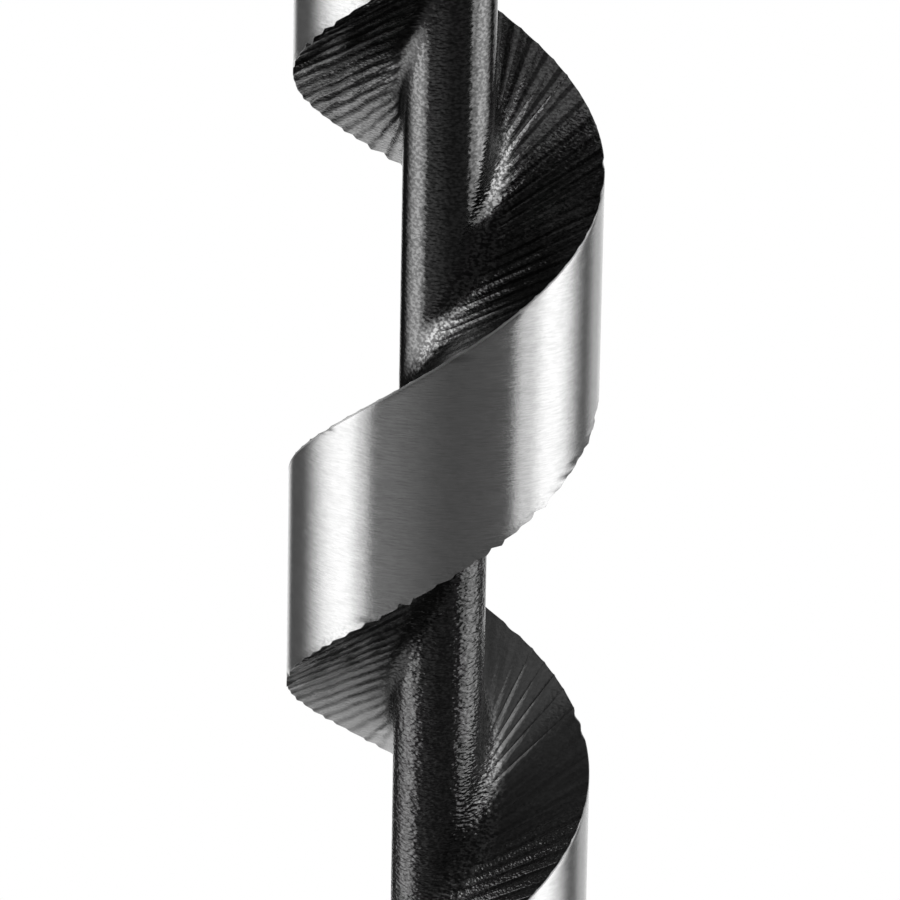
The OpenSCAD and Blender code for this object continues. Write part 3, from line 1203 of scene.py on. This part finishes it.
def socket_tool(depth):
    return prism("socket", hexagon(socket_af), -depth, over)


print("screws with a socket of", socket_af, "mm")

# %% Places of the screws
lip_screw_l = 6.0
lip_screw_r = 6.2
lip_screw_angle = 246.0
spur_screw_l = 5.2
spur_screw_sunk = 0.35
relief_angle = 6.0

lip_head_z = -lip_t + math.tan(math.radians(relief_angle)) * (lip_screw_r + head_r)
lip_screw_place = turn_z(lip_screw_angle) @ move(lip_screw_r, 0, twist_foot + lip_head_z) @ turn_x(180)
spur_screw_place = outwards(spur_angle, twist_foot + spur_seat_l / 2) @ move(0, 0, bit_r - spur_screw_sunk)
print("screws at", lip_screw_angle, "and", spur_angle, "degrees")

# %% Lip plate
edge_angle = math.degrees(lip_turn - lip_t / rise)
lip_over = 6.5
collar_room = 0.25


def lip_plate():
    piece = flight("ground_lip", lip_foot - lip_over, twist_foot + lip_over, 0)
    carve(piece, box("slab", (-far, -far, lip_foot), (far, far, twist_foot)), "INTERSECT")
    below = box("below", (-far, -far, -far), (far, far, 0))
    carve(piece, placed(below, move(0, 0, lip_foot) @ turn_z(edge_angle) @ turn_x(relief_angle)))
    collar_r = core_r + collar_room
    carve(piece, turned("collar_bore", [(collar_r, lip_foot - over), (collar_r, twist_foot + over)]))
    carve(piece, spur_block("spur_room", lip_foot - over, face_gap, spur_w))
    carve(piece, placed(screw_form("countersink", lip_screw_l, fit_gap), lip_screw_place))
    return carve(piece, placed(head_room(), lip_screw_place))


finished(lip_plate(), "bit", "lip_cutter", ground_steel)

# %% Spur knife
spur_foot = lip_foot - 1.8
spur_edge = 1.4
spur_rake = 48
spur_bevel = 26
edge_t = 0.2
land_sides = 256


def spur_knife():
    piece = spur_block("scoring_spur", spur_foot, 0)
    carve(piece, turned("land", [(bit_r, spur_foot), (bit_r, spur_top + over)], land_sides), "INTERSECT")
    rake = box("rake", (-over, 0, -2 * spur_w), (spur_t + 2 * over, 3 * spur_w, 0))
    rake_place = move(spur_in, -spur_w / 2 + spur_edge, spur_foot - over) @ turn_x(spur_rake)
    carve(piece, placed(rake, turn_z(spur_angle) @ rake_place))
    bevel = box("bevel", (-spur_w, -spur_w, -over), (0, spur_w, spur_w))
    bevel_place = move(bit_r - edge_t, 0, spur_foot) @ turn_y(-spur_bevel)
    carve(piece, placed(bevel, turn_z(spur_angle) @ bevel_place))
    carve(piece, placed(screw_form("countersink", spur_screw_l, fit_gap), spur_screw_place))
    return carve(piece, placed(head_room(), spur_screw_place))


finished(spur_knife(), "bit", "spur_cutter", ground_steel)

# %% Their screws, and the grub screw
head_socket_l = 0.9
grub_socket_l = 1.6
grub_cone = 0.6
grub_bevel = 0.25
grub_sunk = 1.0


def socket_screw(name, length):
    return carve(screw_form(name, length, 0), socket_tool(head_socket_l))


def grub_screw():
    low = stub_flat + face_gap
    length = bit_r - grub_sunk - low
    profile = [
        (lock_r - grub_cone, 0),
        (lock_r, grub_cone),
        (lock_r, length - grub_bevel),
        (lock_r - grub_bevel, length),
    ]
    piece = turned("grub_screw", profile, screw_sides)
    carve(piece, placed(socket_tool(grub_socket_l), move(0, 0, length)))
    return placed(piece, outwards(lock_angle, lock_z) @ move(0, 0, low))


lip_fixing = placed(socket_screw("lip_fixing", lip_screw_l), lip_screw_place)
spur_fixing = placed(socket_screw("spur_fixing", spur_screw_l), spur_screw_place)
finished(lip_fixing, "bit", "lip_screw", black_steel)
finished(spur_fixing, "bit", "spur_screw", black_steel)
finished(grub_screw(), "lock", "point_lock_screw", black_steel)

# %% [markdown]
# ## Shank and pins
# The shank is hexagon bar with softened corners and crowned ends. Turning the crown and keeping what it
# shares with the bar gives the curved cuts that a lathe leaves on each corner. The cross pin is a rolled
# spring pin: a tube with a slot, whose ends are drawn in so that it can be driven home. The lip's dowel is
# buried in the plate, so its solid stays as it is.

# %% Hexagon bar
hex_af = 11.0
hex_corner = hex_af / 2 / math.cos(math.radians(30))
hex_round = 0.25
hex_round_steps = 5
heel_crown = (0.9, 0.45)
end_crown = (1.8, 0.9)
crown_steps = 9
crown_over = 1.15
crown_sides = 192
stem_bore_l = stem_l + 1.0
bore_tip_r = 0.2
bore_tip_l = 1.5


def crown(cut, drop):
    """Radius and depth along a turned crown, from the end's flat out to the corners and past them."""
    end_r = hex_corner - cut
    centre = (hex_corner**2 - end_r**2 + drop**2) / (2 * drop)
    ball = math.hypot(end_r, centre)
    depth = np.linspace(0, crown_over * drop, crown_steps)
    return np.sqrt(ball**2 - (centre - depth) ** 2), depth


def hexagon_bar():
    piece = prism("hexagon_bar", hexagon(hex_af, hex_round, hex_round_steps), neck_top, shank_top)
    heel_r, heel = crown(*heel_crown)
    end_r, end = crown(*end_crown)
    profile = list(zip(heel_r, neck_top + heel)) + list(zip(end_r[::-1], shank_top - end[::-1]))
    carve(piece, turned("crowns", profile, crown_sides), "INTERSECT")
    bore_top = neck_top + stem_bore_l
    bore = [(stem_bore_r, neck_top - over), (stem_bore_r, bore_top), (bore_tip_r, bore_top + bore_tip_l)]
    carve(piece, turned("stem_bore", bore))
    return carve(piece, pin_hole())


finished(hexagon_bar(), "bit", "drive_shank", drawn_steel)

# %% Spring pin and dowel
pin_half = hex_af / 2 - 0.2
pin_slot = math.radians(12)
pin_points = 40
pin_draw = 0.16
pin_lead = 0.5


def spring_pin():
    turn = np.linspace(pin_slot, 2 * math.pi - pin_slot, pin_points)
    a = np.concatenate([turn, turn[::-1]])
    inner = 0 * turn + pin_r / 2
    straight = pin_half - pin_lead
    rings = []
    for shrink, z in ((pin_draw, -pin_half), (0.0, -straight), (0.0, straight), (pin_draw, pin_half)):
        r = np.concatenate([0 * turn + pin_r - shrink, inner])
        rings.append(np.stack([r * np.cos(a), r * np.sin(a), 0 * a + z], -1))
    return placed(loft("spring_pin", np.array(rings)), move(0, 0, pin_z) @ turn_x(90))


finished(spring_pin(), "bit", "shank_cross_pin", spring_steel)
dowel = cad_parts["lip_dowel"]
dowel.data.materials.clear()
dowel.data.materials.append(spring_steel)
print("the dowel keeps its solid")

# %% [markdown]
# ## Floor
# The bit hangs from its chuck above a small pale stage that fades out before its edge, so a view from any
# side shows a soft shadow and no horizon. The gap leaves room for the point to be pulled out of its bore.
# The stage stays small, because the flutes reflect what lies below them.

# %% Stage
stage_r = 42.0
stage_t = 2.0
stage_gap = 2.0
stage_z = tip_z - stub_l - stage_gap
stage_fade = (12.0, stage_r - 4.0)
stage_shade = 0.82
stage_glow = 0.5
stage_sides = 96


def stage_finish():
    material, sheet = new_material("pale_stage")
    pale = sheet.node("ShaderNodeBsdfDiffuse", None, {"Color": grey(stage_shade)})
    glow = sheet.node("ShaderNodeEmission", None, {"Color": grey(1), "Strength": stage_glow})
    lit = sheet.node("ShaderNodeAddShader", None, {0: pale, 1: glow})
    clear = sheet.node("ShaderNodeBsdfTransparent")
    gone = sheet.ramp(sheet.radius(object_mm(sheet)), *stage_fade)
    surface = sheet.node("ShaderNodeMixShader", None, {0: gone, 1: lit, 2: clear})
    sheet.node("ShaderNodeOutputMaterial", None, {"Surface": surface})
    return material


stage = turned("stage", [(stage_r, stage_z - stage_t), (stage_r, stage_z)], stage_sides)
stage.data.materials.append(stage_finish())
print("stage at", stage_z)
